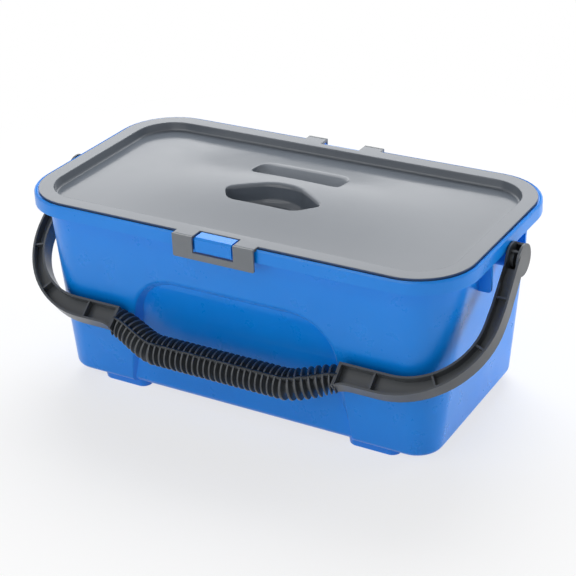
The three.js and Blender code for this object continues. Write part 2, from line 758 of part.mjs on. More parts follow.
// How far the bail leans forward from hanging straight down, when the inner edge of its front run rests on
// the wall with its back edge, restGap away
function restLean() {
  const wallLean = Math.atan(wallSlope);
  const wallDistance = baseWidth / 2 * Math.cos(wallLean) + pivotHeight * Math.sin(wallLean);
  const reach = Math.hypot(innerEdgeDrop, bailBack);
  return Math.asin((wallDistance + restGap) / reach) - wallLean + Math.atan2(bailBack, innerEdgeDrop);
}

// Assembly

const bluePlastic = new THREE.MeshStandardMaterial({ color: 0x2f79cf, roughness: 0.32, metalness: 0 });
const greyPlastic = new THREE.MeshStandardMaterial({ color: 0x9aa1a7, roughness: 0.34, metalness: 0 });
const clipPlastic = new THREE.MeshStandardMaterial({ color: 0x8d9396, roughness: 0.38, metalness: 0 });
const darkPlastic = new THREE.MeshStandardMaterial({ color: 0x3c3d40, roughness: 0.45, metalness: 0 });

function named(name, geometry, material) {
  const mesh = new THREE.Mesh(geometry, material);
  mesh.name = name;
  return mesh;
}

const bucket = new THREE.Group();
bucket.name = 'cleaning_bucket';
bucket.add(named('tub', buildTub(), bluePlastic));
bucket.add(named('lid', buildLid(), greyPlastic));

const clip = clipGeometry();
bucket.add(named('front_clip', clip, clipPlastic));
const rearClip = named('rear_clip', clip, clipPlastic);
rearClip.rotation.z = Math.PI;
bucket.add(rearClip);

const bail = named('bail', buildBail(), darkPlastic);
bail.rotation.x = Math.PI / 2 - restLean();
bail.position.z = pivotHeight;
bucket.add(bail);

export default bucket;
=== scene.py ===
import json
import math

import bmesh
import bpy
from mathutils import Matrix, Vector
from mathutils.geometry import intersect_line_line_2d


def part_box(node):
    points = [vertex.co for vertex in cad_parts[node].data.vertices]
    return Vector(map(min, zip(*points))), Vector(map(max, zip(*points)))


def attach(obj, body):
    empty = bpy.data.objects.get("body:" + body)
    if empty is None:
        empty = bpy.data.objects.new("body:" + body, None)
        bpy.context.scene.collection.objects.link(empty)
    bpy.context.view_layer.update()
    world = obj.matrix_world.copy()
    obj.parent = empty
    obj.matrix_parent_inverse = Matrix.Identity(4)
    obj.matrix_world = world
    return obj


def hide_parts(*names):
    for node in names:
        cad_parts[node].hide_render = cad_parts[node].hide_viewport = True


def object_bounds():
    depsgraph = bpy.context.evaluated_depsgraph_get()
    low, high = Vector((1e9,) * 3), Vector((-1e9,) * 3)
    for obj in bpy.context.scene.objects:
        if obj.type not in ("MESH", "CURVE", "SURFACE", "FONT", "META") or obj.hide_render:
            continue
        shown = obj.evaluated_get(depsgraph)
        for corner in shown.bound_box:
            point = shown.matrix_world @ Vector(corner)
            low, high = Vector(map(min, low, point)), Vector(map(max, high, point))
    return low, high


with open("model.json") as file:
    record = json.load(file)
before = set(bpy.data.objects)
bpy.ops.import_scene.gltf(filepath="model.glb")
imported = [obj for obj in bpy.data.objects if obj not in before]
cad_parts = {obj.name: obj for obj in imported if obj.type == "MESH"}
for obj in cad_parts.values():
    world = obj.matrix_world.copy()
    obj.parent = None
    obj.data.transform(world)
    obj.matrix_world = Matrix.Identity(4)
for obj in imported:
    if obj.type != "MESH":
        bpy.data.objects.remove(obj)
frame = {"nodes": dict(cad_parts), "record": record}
cad_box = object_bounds()

MM = 0.001
ONTO_X = Matrix.Rotation(math.pi / 2, 4, "Y")  # lays a shape made about Z along X

# Camera, fitted to the rim, base and lid outlines of the photograph
CAMERA_PLACE = Vector((0.7923, -1.3259, 0.8956))
CAMERA_AZIMUTH = math.radians(30.84)
CAMERA_ELEVATION = math.radians(27.38)
CAMERA_ROLL = math.radians(-2.36)
FOCAL_PIXELS = 1580.75
FRAME_PIXELS = 576
SENSOR_MM = 36

# Joining of loose triangles, and the radii that the moulds leave on edges
WELD = 0.002 * MM
FLAT_ANGLE = math.radians(0.3)
SHARP_ANGLE = math.radians(33)
EDGE_STEPS = 3
ARCH_EDGE_STEPS = 4
ARCH_EDGE = 1.3 * MM
TUB_EDGE = 0.9 * MM
LID_EDGE = 0.5 * MM
CLIP_EDGE = 0.5 * MM
BAIL_EDGE = 0.45 * MM

# Tub walls and rim
BASE_HALF_WIDTH = 112.5 * MM
SIDE_FLARE = 11.5 * MM
WALL_HEIGHT = 209.1 * MM
WALL_LEAN = math.atan(SIDE_FLARE / WALL_HEIGHT)
LIP_TOP = 214.4 * MM
LIP_SETTLE = 1.9 * MM
LIP_BACK = 134.5 * MM
WINDOW_LOW = 207 * MM
WINDOW_HIGH = 211.5 * MM
WINDOW_MARGIN = 1 * MM

# Arched finger recesses in the tub's walls: the region to look in, and the band and step round each
ARCH_LOW = 8 * MM
ARCH_HIGH = 150 * MM
ARCH_HALF = 145 * MM
ARCH_DEPTH = 16 * MM
ARCH_FADE = 40 * MM
ARCH_SHIFT = 2 * MM
ARCH_BAND = 4.6 * MM
ARCH_BAND_DEPTH = 1.9 * MM
ARCH_STEP = 4.4 * MM
SIDE_FACING = (0.3, 0.7)
WALL_FACING = 0.9

# Lid, in the sizes of its node
LID_TOP = 215.2 * MM
LID_END_GAP = 0.5 * MM
LID_HALF_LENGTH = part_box("lid")[1].x - LID_END_GAP
LID_HALF_WIDTH = 134.1 * MM
LID_CORNER = 60.6 * MM
LID_CORNER_STEPS = 20
LID_WALL = 2.4 * MM
LID_EDGE_THICKNESS = 3 * MM
TAB_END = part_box("lid")[1].y
NOTCH_BACK = 127.3 * MM
CLIP_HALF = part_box("front_clip")[1].x
WINDOW_HALF = 24 * MM
RECESS_PROFILE = (  # inset from the lid's edge and drop under its top, in mm
    (15.6, 0), (16.1, 0.12), (16.5, 0.5), (16.65, 1.1), (17.6, 7.4), (17.95, 8.8), (18.8, 9.7), (20.4, 10),
)
PANEL_EDGE = 205.2 * MM
PANEL_SWELL = 11 * MM
PANEL_HALF_LENGTH = 237.7 * MM
PANEL_HALF_WIDTH = 116.7 * MM
PANEL_PITCH = 15 * MM
PANEL_COLUMNS = 15
PANEL_LINES = (-105, -90, -75, -60, -44, -28, -12, 4, 18, 31, 44, 57, 69, 81, 93, 105)  # mm

# Finger pockets in the panel
POCKET_FIELD = 75 * MM
POCKET_LINES = (-60 * MM, 18 * MM, 81 * MM)
POCKET_RIM_CUTS = 3
POCKET_APPROACH_SHARES = (0.4, 0.75, 0.93)
POCKET_ROUNDING_ANGLES = (0, 22, 45, 67, 90)
POCKET_SOFTENING = 1.5
POCKET_NEAR_EDGE = 1.1 * MM
POCKET_FAR_EDGE = 5 * MM
FRONT_POCKET_MIDDLE = -20 * MM
FRONT_POCKET_HALF = 57 * MM
FRONT_POCKET_FLOOR = 192.2 * MM
FRONT_POCKET_CORNERS = (  # x, y and the length cut off for the rounding, in mm
    (-46, -42, 11), (36, -42, 9), (57, -21.5, 5), (30, -3, 12),
    (14, 7, 13), (-15, 7, 13), (-32, -3, 12), (-60, -21, 7),
)
FRONT_POCKET_FILLET = (  # drawn in from the wall and height over the floor, in mm
    (0.8, 12), (2.4, 6), (5, 2.4), (8.6, 0.6), (13, 0),
)
REAR_POCKET_NEAR = 29 * MM
REAR_POCKET_FAR = 64 * MM
REAR_POCKET_LEFT = -60 * MM
REAR_POCKET_RIGHT = 50 * MM
REAR_POCKET_SHIFT = -5 * MM
REAR_POCKET_MIDDLE = 34 * MM
REAR_POCKET_FLOOR = 197.2 * MM
REAR_POCKET_CORNER_SHARES = (0.3, 0.22, 0.5, 0.42)  # near left, near right, far right and far left
REAR_POCKET_STEPS = (  # share of the depth, then how far the far edge and the others are drawn in, in mm
    (0, -4.5, -1.3), (0.01, -2.2, -0.6), (0.05, 0.4, -0.15), (0.13, 3.6, 0), (0.45, 11.5, 0.5),
    (0.8, 20, 1.3), (0.93, 23.6, 2), (0.985, 25.6, 3), (1, 27.4, 4.4),
)

# Handle, in its own plane: X across, Y up the arm from the pivot, Z out of its open front
PIVOT = Vector(next(j["pos_m"] for j in frame["record"]["behaviour"]["joints"] if j["name"] == "bail_swing"))
REST_GAP = 0.3 * MM
INNER_EDGE_DROP = 154 * MM
OUTER_EDGE_DROP = 176.8 * MM
FLARE_DROP = 4 * MM
ARM_END_DROP = OUTER_EDGE_DROP + FLARE_DROP
HANDLE_FRONT = 13.5 * MM
HANDLE_BACK = 4.5 * MM
ARM_CUT_GAP = 0.05 * MM
ARM_OVERLAP = 0.5 * MM
END_PLATE_OVERLAP = 0.1 * MM
EYE_INNER = 261 * MM
EYE_SET = 0.4 * MM
HUB_LENGTH = 6 * MM
HUB_RADIUS = 8.6 * MM
HUB_SEGMENTS = 32

# Grip
GRIP_HALF = 136 * MM
GRIP_FLAT_HALF = 80 * MM
GRIP_DROP = 185.6 * MM
GRIP_RADIUS = 16.8 * MM
GRIP_END_RADIUS = 16 * MM
GRIP_END_BACK = 0.5 * MM
GRIP_CURVE_SHARE = 0.6
DISC_COUNT = 40
DISC_THICKNESS = 2.2 * MM
DISC_ROUNDING = 0.75 * MM
DISC_SEGMENTS = 40
GROOVE_DEPTH = 8 * MM
SPINE_WIDTH = 2.6 * MM
SPINE_STEPS = 2 * DISC_COUNT

# Studio: the floor's own shading gives way to plain white between its near and far distance
FLOOR_RADIUS = 8
FLOOR_NEAR = 0.25
FLOOR_FAR = 0.9
FLOOR_WHITE_SHARE = 0.7
WORLD_LIGHT = 0.1
TUB_MIDDLE = (0, 0, 0.15)
LAMPS = (  # name, place, aim, width, height, watts, and whether the plastic mirrors it
    ("overhead_softbox", (-0.6, 1.45, 2.15), TUB_MIDDLE, 2.0, 1.6, 62, False),
    ("backdrop_softbox", (-1.31, 2.19, 1.8), TUB_MIDDLE, 3.6, 2.0, 32, True),
    ("right_softbox", (1.4, 0.9, 0.42), (0.25, 0, 0.08), 1.0, 0.6, 11, False),
    ("front_softbox", (-0.3, -2.2, 0.9), (0, 0, 0.1), 2.6, 1.6, 18, True),
    ("edge_strip_light", (-0.2, -1.5, 1.9), (0, 0, 0.2), 1.6, 0.15, 4, True),
)


# Shapes

def welded_copy(node):
    """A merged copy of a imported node's mesh, with the triangles of each flat face joined."""
    bm = bmesh.new()
    bm.from_mesh(frame["nodes"][node].data)
    bmesh.ops.remove_doubles(bm, verts=bm.verts, dist=WELD)
    bmesh.ops.dissolve_limit(bm, angle_limit=FLAT_ANGLE, verts=bm.verts, edges=bm.edges)
    return bm


def sharp_edges(bm, wanted=None):
    """Edges that the mould rounds, kept where wanted says so of the middle point and the edge."""
    found = []
    for edge in bm.edges:
        if len(edge.link_faces) != 2 or edge.calc_face_angle(0) < SHARP_ANGLE:
            continue
        middle = (edge.verts[0].co + edge.verts[1].co) / 2
        if wanted is None or wanted(middle, edge):
            found.append(edge)
    return found


def round_edges(bm, edges, width, segments=EDGE_STEPS):
    """Round the edges to a width, or to less where they would run into each other."""
    bmesh.ops.bevel(bm, geom=edges, offset=width, offset_type="OFFSET", affect="EDGES",
                    segments=segments, profile=0.5, material=-1, clamp_overlap=True)


def new_verts(geometry):
    """The vertices among what an operator made."""
    return [item for item in geometry if isinstance(item, bmesh.types.BMVert)]


def finished(bm, name, body, node, material):
    """The object of a mesh, shaded smooth, in place of a node and moving with its body."""
    for face in bm.faces:
        face.smooth = True
    mesh = bpy.data.meshes.new(name)
    bm.to_mesh(mesh)
    bm.free()
    mesh.materials.append(material)
    piece = bpy.data.objects.new(name, mesh)
    bpy.context.scene.collection.objects.link(piece)
    piece.modifiers.new("even_shading", "WEIGHTED_NORMAL")
    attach(piece, body)
    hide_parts(node)
    return piece


# Materials

def linear(hex_colour):
    """An sRGB hex colour as the linear colour that a socket takes."""
    shares = [int(hex_colour[at:at + 2], 16) / 255 for at in (1, 3, 5)]
    return (*[c / 12.92 if c <= 0.04045 else ((c + 0.055) / 1.055) ** 2.4 for c in shares], 1)


def add_node(tree, kind, inputs=None, **settings):
    """A node with its settings, and its inputs set to values or linked from other sockets."""
    node = tree.nodes.new(kind)
    for setting, value in settings.items():
        setattr(node, setting, value)
    for socket, value in (inputs or {}).items():
        if isinstance(value, bpy.types.NodeSocket):
            tree.links.new(value, node.inputs[socket])
        else:
            node.inputs[socket].default_value = value
    return node


# Size of the faint clouds in the colour, of the melt's flow marks and of the skin's waves
CLOUD_SIZE = 90 * MM
FLOW_SIZE = 28 * MM
WAVE_SIZE = 22 * MM
POLYPROPYLENE_IOR = 1.49


def moulded_plastic(name, deep, pale, roughness, wave_height, grain_size, grain_height):
    """Injection-moulded plastic: its colour clouds faintly between deep and pale, its gloss varies with
    the melt's flow, and its skin is slightly wavy under a fine grain. A real grain of about 0.1 mm is too
    fine to show, so it is drawn at 2 mm or more."""
    material = bpy.data.materials.new(name)
    material.use_nodes = True
    tree = material.node_tree
    tree.nodes.clear()
    place = add_node(tree, "ShaderNodeTexCoord").outputs["Object"]
    clouds = add_node(tree, "ShaderNodeTexNoise", {
        "Vector": place, "Scale": 1 / CLOUD_SIZE, "Detail": 3, "Roughness": 0.5})
    tint = add_node(tree, "ShaderNodeMix", {
        "Factor": clouds.outputs["Fac"], "A": linear(deep), "B": linear(pale)}, data_type="RGBA")
    flow = add_node(tree, "ShaderNodeTexNoise", {
        "Vector": place, "Scale": 1 / FLOW_SIZE, "Detail": 4, "Roughness": 0.6})
    gloss = add_node(tree, "ShaderNodeMapRange", {
        "Value": flow.outputs["Fac"], "From Min": 0.3, "From Max": 0.7,
        "To Min": roughness[0], "To Max": roughness[1]})
    waves = add_node(tree, "ShaderNodeTexNoise", {
        "Vector": place, "Scale": 1 / WAVE_SIZE, "Detail": 1})
    wavy = add_node(tree, "ShaderNodeBump", {
        "Height": waves.outputs["Fac"], "Distance": wave_height, "Strength": 1})
    grain = add_node(tree, "ShaderNodeTexNoise", {
        "Vector": place, "Scale": 1 / grain_size, "Detail": 2})
    skin = add_node(tree, "ShaderNodeBump", {
        "Height": grain.outputs["Fac"], "Distance": grain_height, "Strength": 1,
        "Normal": wavy.outputs["Normal"]})
    shader = add_node(tree, "ShaderNodeBsdfPrincipled", {
        "Base Color": tint.outputs[2], "Roughness": gloss.outputs["Result"], "IOR": POLYPROPYLENE_IOR,
        "Normal": skin.outputs["Normal"]})
    add_node(tree, "ShaderNodeOutputMaterial", {"Surface": shader.outputs["BSDF"]})
    return material


# The tub, from a smooth mould: a deep clear blue with a soft sheen that blurs what it mirrors
blue_polypropylene = moulded_plastic(
    "polypropylene_blue_smooth_moulded", deep="#008CF6", pale="#0494FC", roughness=(0.26, 0.33),
    wave_height=0.05 * MM, grain_size=2.6 * MM, grain_height=0.005 * MM)
# The lid, from a polished mould: a cool grey that mirrors the pale studio in broad, nearly sharp lights
grey_polypropylene = moulded_plastic(
    "polypropylene_grey_gloss_moulded", deep="#646B74", pale="#6B727B", roughness=(0.13, 0.19),
    wave_height=0.05 * MM, grain_size=2.6 * MM, grain_height=0.003 * MM)
# The clips, from a finely blasted mould: a like grey, paler than the lid's, but even and dull
clip_polypropylene = moulded_plastic(
    "polypropylene_grey_satin_moulded", deep="#787D82", pale="#7F8388", roughness=(0.34, 0.42),
    wave_height=0.03 * MM, grain_size=2.2 * MM, grain_height=0.008 * MM)
# The handle, from a blasted mould: a soft black whose edges and ribs catch grey lights
black_polypropylene = moulded_plastic(
    "polypropylene_black_satin_moulded", deep="#474B4F", pale="#4E5256", roughness=(0.28, 0.38),
    wave_height=0.03 * MM, grain_size=2 * MM, grain_height=0.012 * MM)


# Tub

def facing(face):
    """How squarely a face looks out of the front or back wall that it lies on."""
    return face.normal.y * math.copysign(1, face.calc_center_median().y)


def along_plane(face, step):
    """The step in X and Z, with the change in Y that keeps it in the face's plane."""
    rise = -(face.normal.x * step.x + face.normal.z * step.z) / face.normal.y
    return Vector((step.x, rise, step.z))


def near_recess(place):
    """Whether a place lies on the front or back wall, in or close beside its finger recess."""
    on_wall = abs(place.y) > BASE_HALF_WIDTH - ARCH_DEPTH and abs(place.x) < ARCH_HALF
    return on_wall and ARCH_LOW < place.z < ARCH_HIGH


def arch_sides(bm):
    """The slanted faces between the walls and the fields of the finger recesses."""
    return [face for face in bm.faces
            if near_recess(face.calc_center_median()) and SIDE_FACING[0] < facing(face) < SIDE_FACING[1]]


def arch_loops(sides):
    """For each vertex along the sides: the flat face beside it, and the way into the recess. Then the set of
    those vertices that lie on the wall, and not on the recess's field."""
    flats, insides, outers = {}, {}, set()
    for face in sides:
        inside = Vector((face.normal.x, 0, face.normal.z)).normalized()
        for edge in face.edges:
            flat = next((link for link in edge.link_faces if link is not face), face)
            if flat in sides or facing(flat) < WALL_FACING:
                continue
            reach = abs((edge.verts[0].co.y + edge.verts[1].co.y) / 2)
            for vert in edge.verts:
                flats.setdefault(vert, flat)
                insides[vert] = insides.get(vert, Vector()) + inside
                if reach > abs(face.calc_center_median().y):
                    outers.add(vert)
    return flats, insides, outers


def step_arch(bm):
    """Round each finger recess a shallow band, and then a small step down to the recess's field. Both fade
    out towards the tub's underside."""
    many_sided = [face for face in arch_sides(bm) if len(face.verts) > 4]
    bmesh.ops.triangulate(bm, faces=many_sided)
    sides = arch_sides(bm)
    flats, insides, outers = arch_loops(sides)
    moves, splits = {}, []
    for edge in bm.edges:
        on_side = any(link in sides for link in edge.link_faces)
        on_loops = all(vert in flats for vert in edge.verts)
        if not on_side or not on_loops or len(outers.intersection(edge.verts)) != 1:
            continue
        outer, inner = sorted(edge.verts, key=lambda vert: vert not in outers)
        inside = (insides[outer] + insides[inner]).normalized()
        run = (inner.co - outer.co).dot(inside)
        fade = min(max((outer.co.z - ARCH_LOW) / ARCH_FADE, 0), 1)
        widened = max(ARCH_SHIFT + ARCH_BAND + ARCH_STEP - run, 0)
        moves[outer] = along_plane(flats[outer], insides[outer].normalized() * ARCH_SHIFT * fade)
        moves.setdefault(inner, along_plane(flats[inner], insides[inner].normalized() * widened * fade))
        middle = (outer.co + inner.co) / 2
        across = middle - outer.co + inside * (ARCH_SHIFT + ARCH_BAND - run / 2)
        inwards = Vector((0, -math.copysign(ARCH_BAND_DEPTH, outer.co.y), 0))
        band = outer.co + along_plane(flats[outer], across) + inwards
        splits.append((edge, outer, middle.lerp(band, fade)))
    for vert, move in moves.items():
        vert.co += move
    band_verts = []
    for edge, outer, place in splits:
        vert = bmesh.utils.edge_split(edge, outer, 0.5)[1]
        vert.co = place
        band_verts.append(vert)
    bmesh.ops.connect_verts(bm, verts=band_verts)


def settle_rim(bm):
    """Draw the rim's lip, and the step in the back window, down until they hide behind the lid."""
    for vert in bm.verts:
        place = vert.co
        in_window = abs(place.x) < WINDOW_HALF + WINDOW_MARGIN and abs(place.y) > NOTCH_BACK
        on_lip = place.z > LIP_TOP - WELD and not in_window
        on_step = in_window and place.y > LIP_BACK and WINDOW_LOW < place.z < WINDOW_HIGH
        if on_lip or on_step:
            place.z -= LIP_SETTLE


def build_tub():
    """The node's copy with its lip settled, a band round each recess, and rounded edges."""
    bm = welded_copy("tub")
    settle_rim(bm)
    step_arch(bm)

    def on_arch(middle, edge):
        less, more = sorted(facing(face) for face in edge.link_faces)
        return near_recess(middle) and more > WALL_FACING and less > 0

    round_edges(bm, sharp_edges(bm, on_arch), ARCH_EDGE, ARCH_EDGE_STEPS)
    round_edges(bm, sharp_edges(bm), TUB_EDGE)
    finished(bm, "tub_body", "tub", "tub", blue_polypropylene)


# Lid and clips

def swell(x, y):
    """Height of the lid's panel: flat at its edge, swelling to the bar between the pockets."""
    def fall(share):
        return (1 - min(share * share, 1)) ** 2
    return PANEL_EDGE + PANEL_SWELL * fall(x / PANEL_HALF_LENGTH) * fall(y / PANEL_HALF_WIDTH)


def on_panel(point, drop=0.0):
    """The place on the panel above a point of its plan, or as far below it as the drop."""
    return Vector((point.x, point.y, swell(point.x, point.y) - drop))


def rounded_outline(corners, steps=10):
    """Points round a polygon whose corners, given as x, y and the length cut off, are rounded."""
    points = []
    for k, (x, y, cut) in enumerate(corners):
        corner = Vector((x, y))
        before = Vector(corners[k - 1][:2]) - corner
        after = Vector(corners[(k + 1) % len(corners)][:2]) - corner
        start = corner + before.normalized() * cut
        end = corner + after.normalized() * cut
        for step in range(steps + 1):
            share = step / steps
            points.append(start * (1 - share) ** 2 + corner * 2 * share * (1 - share) + end * share ** 2)
    return points


def seen_from(centre, toward, outline):
    """Where the line from a centre towards a point crosses an outline round it."""
    direction = (toward - centre).normalized()
    for k, point in enumerate(outline):
        crossing = intersect_line_line_2d(centre, centre + direction, outline[k - 1], point)
        if crossing:
            return crossing
    return None


def stepped_in(bm, face, places):
    """The face drawn in and down: its corners move to new places and a ring of faces follows."""
    inner = bmesh.ops.extrude_discrete_faces(bm, faces=[face])["faces"][0]
    for vert, place in zip(inner.verts, places):
        vert.co = place
    return inner


def sink_front_pocket(bm, face):
    """A pocket with a crisp near edge and a softly rounded far one, and steep walls."""
    centre = Vector((0, FRONT_POCKET_MIDDLE))
    corners = [[size * MM for size in corner] for corner in FRONT_POCKET_CORNERS]
    rim = [vert.co.xy for vert in face.verts]
    outline = [seen_from(centre, point, rounded_outline(corners)) for point in rim]
    outward = []
    for k, point in enumerate(outline):
        along = outline[(k + 1) % len(outline)] - outline[k - 1]
        normal = Vector((along.y, -along.x)).normalized()
        outward.append(normal if normal.dot(point - centre) > 0 else -normal)
    radii = [POCKET_NEAR_EDGE + (POCKET_FAR_EDGE - POCKET_NEAR_EDGE) * max(normal.y, 0) ** POCKET_SOFTENING
             for normal in outward]
    lips = [point + normal * radius for point, normal, radius in zip(outline, outward, radii)]
    for share in POCKET_APPROACH_SHARES:
        face = stepped_in(bm, face, [on_panel(a.lerp(b, share)) for a, b in zip(rim, lips)])
    for angle in POCKET_ROUNDING_ANGLES:
        across, down = 1 - math.sin(math.radians(angle)), 1 - math.cos(math.radians(angle))
        face = stepped_in(bm, face, [
            on_panel(point + normal * radius * across, radius * down)
            for point, normal, radius in zip(outline, outward, radii)])
    edge = [vert.co.copy() for vert in face.verts]
    for inset, above in FRONT_POCKET_FILLET:
        shrink = Vector((1 - inset * MM / FRONT_POCKET_HALF, 1 - 2 * inset * MM / FRONT_POCKET_HALF))
        face = stepped_in(bm, face, [
            Vector((place.x * shrink.x, centre.y + (place.y - centre.y) * shrink.y,
                    FRONT_POCKET_FLOOR + above * MM)) for place in edge])


def rear_pocket_outline(short, inset):
    """The slot's outline, with its far edge drawn in by the first length and the others by the second."""
    near, far = REAR_POCKET_NEAR + inset, REAR_POCKET_FAR - short
    left, right = REAR_POCKET_LEFT + inset, REAR_POCKET_RIGHT - inset
    places = ((left, near), (right, near), (right, far), (left, far))
    return rounded_outline([(x, y, share * (far - near))
                            for (x, y), share in zip(places, REAR_POCKET_CORNER_SHARES)])


def sink_rear_pocket(bm, face):
    """A slot with a steep near wall, round ends and a long slope up to a soft far edge."""
    centre = Vector((REAR_POCKET_SHIFT, REAR_POCKET_MIDDLE))
    rim = [vert.co.xy for vert in face.verts]
    widest = rear_pocket_outline(*[size * MM for size in REAR_POCKET_STEPS[0][1:]])
    lips = [seen_from(centre, point, widest) for point in rim]
    for share in POCKET_APPROACH_SHARES:
        face = stepped_in(bm, face, [on_panel(a.lerp(b, share)) for a, b in zip(rim, lips)])
    for depth, short, inset in REAR_POCKET_STEPS:
        outline = rear_pocket_outline(short * MM, inset * MM)
        places = []
        for point in rim:
            place = seen_from(centre, point, outline)
            top = swell(place.x, place.y)
            places.append(Vector((place.x, place.y, top + (REAR_POCKET_FLOOR - top) * depth)))
        face = stepped_in(bm, face, places)


def bisect(bm, faces, place, normal):
    """Cut the faces along a plane, and keep both sides."""
    parts = {item for face in faces for item in (face, *face.edges, *face.verts)}
    bmesh.ops.bisect_plane(bm, geom=list(parts), dist=WELD, plane_co=place, plane_no=normal)


def level_faces(bm, height):
    """The faces that lie flat at a height."""
    return [face for face in bm.faces if all(abs(vert.co.z - height) < WELD for vert in face.verts)]


def lid_sheet():
    """The border and the recess's wall, drawn in step by step from one rounded rectangle."""
    bm = bmesh.new()
    sheet = Matrix.Translation((0, 0, LID_TOP)) @ Matrix.Diagonal((LID_HALF_LENGTH, LID_HALF_WIDTH, 1, 1))
    corners = bmesh.ops.create_grid(bm, x_segments=1, y_segments=1, size=1, matrix=sheet)["verts"]
    bmesh.ops.bevel(bm, geom=corners, offset=LID_CORNER, offset_type="OFFSET", affect="VERTICES",
                    segments=LID_CORNER_STEPS, profile=0.5, material=-1)
    last_inset, last_drop = 0, 0
    for inset, drop in RECESS_PROFILE:
        panel = max(bm.faces, key=lambda face: face.calc_area())
        bmesh.ops.inset_region(bm, faces=[panel], thickness=(inset - last_inset) * MM,
                               depth=-(drop - last_drop) * MM, use_boundary=True, use_even_offset=True)
        last_inset, last_drop = inset, drop
    return bm


def shape_panel(bm):
    """The panel, cut into a net that swells to the bar, and the two finger pockets beside the bar."""
    for k in range(-PANEL_COLUMNS, PANEL_COLUMNS + 1):
        bisect(bm, level_faces(bm, PANEL_EDGE), (k * PANEL_PITCH, 0, 0), (1, 0, 0))
    for y in PANEL_LINES:
        bisect(bm, level_faces(bm, PANEL_EDGE), (0, y * MM, 0), (0, 1, 0))
    pocket_faces = []
    for low, high in zip(POCKET_LINES, POCKET_LINES[1:]):
        inside = [face for face in level_faces(bm, PANEL_EDGE)
                  if abs(face.calc_center_median().x) < POCKET_FIELD
                  and low < face.calc_center_median().y < high]
        pocket_faces.append(bmesh.ops.dissolve_faces(bm, faces=inside, use_verts=False)["region"][0])
    rims = {side for face in pocket_faces for side in face.edges}
    bmesh.ops.subdivide_edges(bm, edges=list(rims), cuts=POCKET_RIM_CUTS)
    for face in level_faces(bm, PANEL_EDGE):
        for vert in face.verts:
            vert.co.z = max(vert.co.z, swell(vert.co.x, vert.co.y))
    sink_front_pocket(bm, pocket_faces[0])
    sink_rear_pocket(bm, pocket_faces[1])


def cut_clip_windows(bm):
    """The notches in the border between the clips' straps, and the tabs that reach out to the straps."""
    for x in (-CLIP_HALF, -WINDOW_HALF, WINDOW_HALF, CLIP_HALF):
        bisect(bm, level_faces(bm, LID_TOP), (x, 0, 0), (1, 0, 0))
    for side in (1, -1):
        middle = [face for face in level_faces(bm, LID_TOP)
                  if abs(face.calc_center_median().x) < WINDOW_HALF
                  and face.calc_center_median().y * side > 0]
        bisect(bm, middle, (0, side * NOTCH_BACK, 0), (0, 1, 0))
    cut_off = [face for face in level_faces(bm, LID_TOP) if abs(face.calc_center_median().x) < WINDOW_HALF
               and abs(face.calc_center_median().y) > NOTCH_BACK]
    bmesh.ops.delete(bm, geom=cut_off, context="FACES")
    for side in (1, -1):
        ends = [line for line in bm.edges if line.is_boundary
                and all(abs(vert.co.y - side * LID_HALF_WIDTH) < WELD for vert in line.verts)
                and WINDOW_HALF < abs((line.verts[0].co.x + line.verts[1].co.x) / 2) < CLIP_HALF]
        tabs = bmesh.ops.extrude_edge_only(bm, edges=ends)["geom"]
        bmesh.ops.translate(bm, vec=(0, side * (TAB_END - LID_HALF_WIDTH), 0), verts=new_verts(tabs))


def build_lid():
    """The sheet with its panel, pockets and tabs, its edge turned down, and a wall's thickness below."""
    bm = lid_sheet()
    shape_panel(bm)
    cut_clip_windows(bm)
    outer = [line for line in bm.edges if line.is_boundary]
    skirt = bmesh.ops.extrude_edge_only(bm, edges=outer)["geom"]
    bmesh.ops.translate(bm, vec=(0, 0, -LID_EDGE_THICKNESS), verts=new_verts(skirt))
    bmesh.ops.recalc_face_normals(bm, faces=bm.faces)
    round_edges(bm, outer, LID_EDGE)
    piece = finished(bm, "lid_shell", "lid", "lid", grey_polypropylene)
    wall = piece.modifiers.new("wall", "SOLIDIFY")
    wall.thickness = LID_WALL
    wall.offset = -1
    wall.use_even_offset = True
    piece.modifiers.move(1, 0)


def build_clip(node):
    """The node's copy, with the edges that its mould rounds."""
    bm = welded_copy(node)
    round_edges(bm, sharp_edges(bm), CLIP_EDGE)
    finished(bm, node + "_strap", node, node, clip_polypropylene)


# Handle

def handle_matrix():
    """From the handle's own plane to its place at rest, where it leans on the tub's front wall."""
    wall_distance = BASE_HALF_WIDTH * math.cos(WALL_LEAN) + PIVOT.z * math.sin(WALL_LEAN)
    reach = math.hypot(INNER_EDGE_DROP, HANDLE_BACK)
    lean = (math.asin((wall_distance + REST_GAP) / reach) - WALL_LEAN
            + math.atan2(HANDLE_BACK, INNER_EDGE_DROP))
    return Matrix.Translation(PIVOT) @ Matrix.Rotation(math.pi / 2 - lean, 4, "X")


def grip_at(x):
    """The grip's drop below the pivot, radius and reach behind it, at a distance from its middle."""
    share = min(max((GRIP_HALF - abs(x)) / (GRIP_HALF - GRIP_FLAT_HALF), 0), 1)
    blend = share + (share * share * (3 - 2 * share) - share) * GRIP_CURVE_SHARE
    end_drop = (INNER_EDGE_DROP + ARM_END_DROP) / 2
    drop = end_drop + (GRIP_DROP - end_drop) * blend
    radius = GRIP_END_RADIUS + (GRIP_RADIUS - GRIP_END_RADIUS) * blend
    back = GRIP_END_BACK + (2 * GRIP_RADIUS - GRIP_END_BACK) * blend
    return drop, radius, back


def grip_ring_matrix(x, inset):
    """Takes a unit circle about X to a ring round the grip's middle line, square to it."""
    drop, radius, _ = grip_at(x)
    step = DISC_THICKNESS
    slope = (grip_at(x - step)[0] - grip_at(x + step)[0]) / (2 * step)
    place = Matrix.Translation((x, -drop, HANDLE_FRONT - radius))
    return place @ Matrix.Rotation(math.atan(slope), 4, "Z") @ Matrix.Scale(radius - inset, 4)


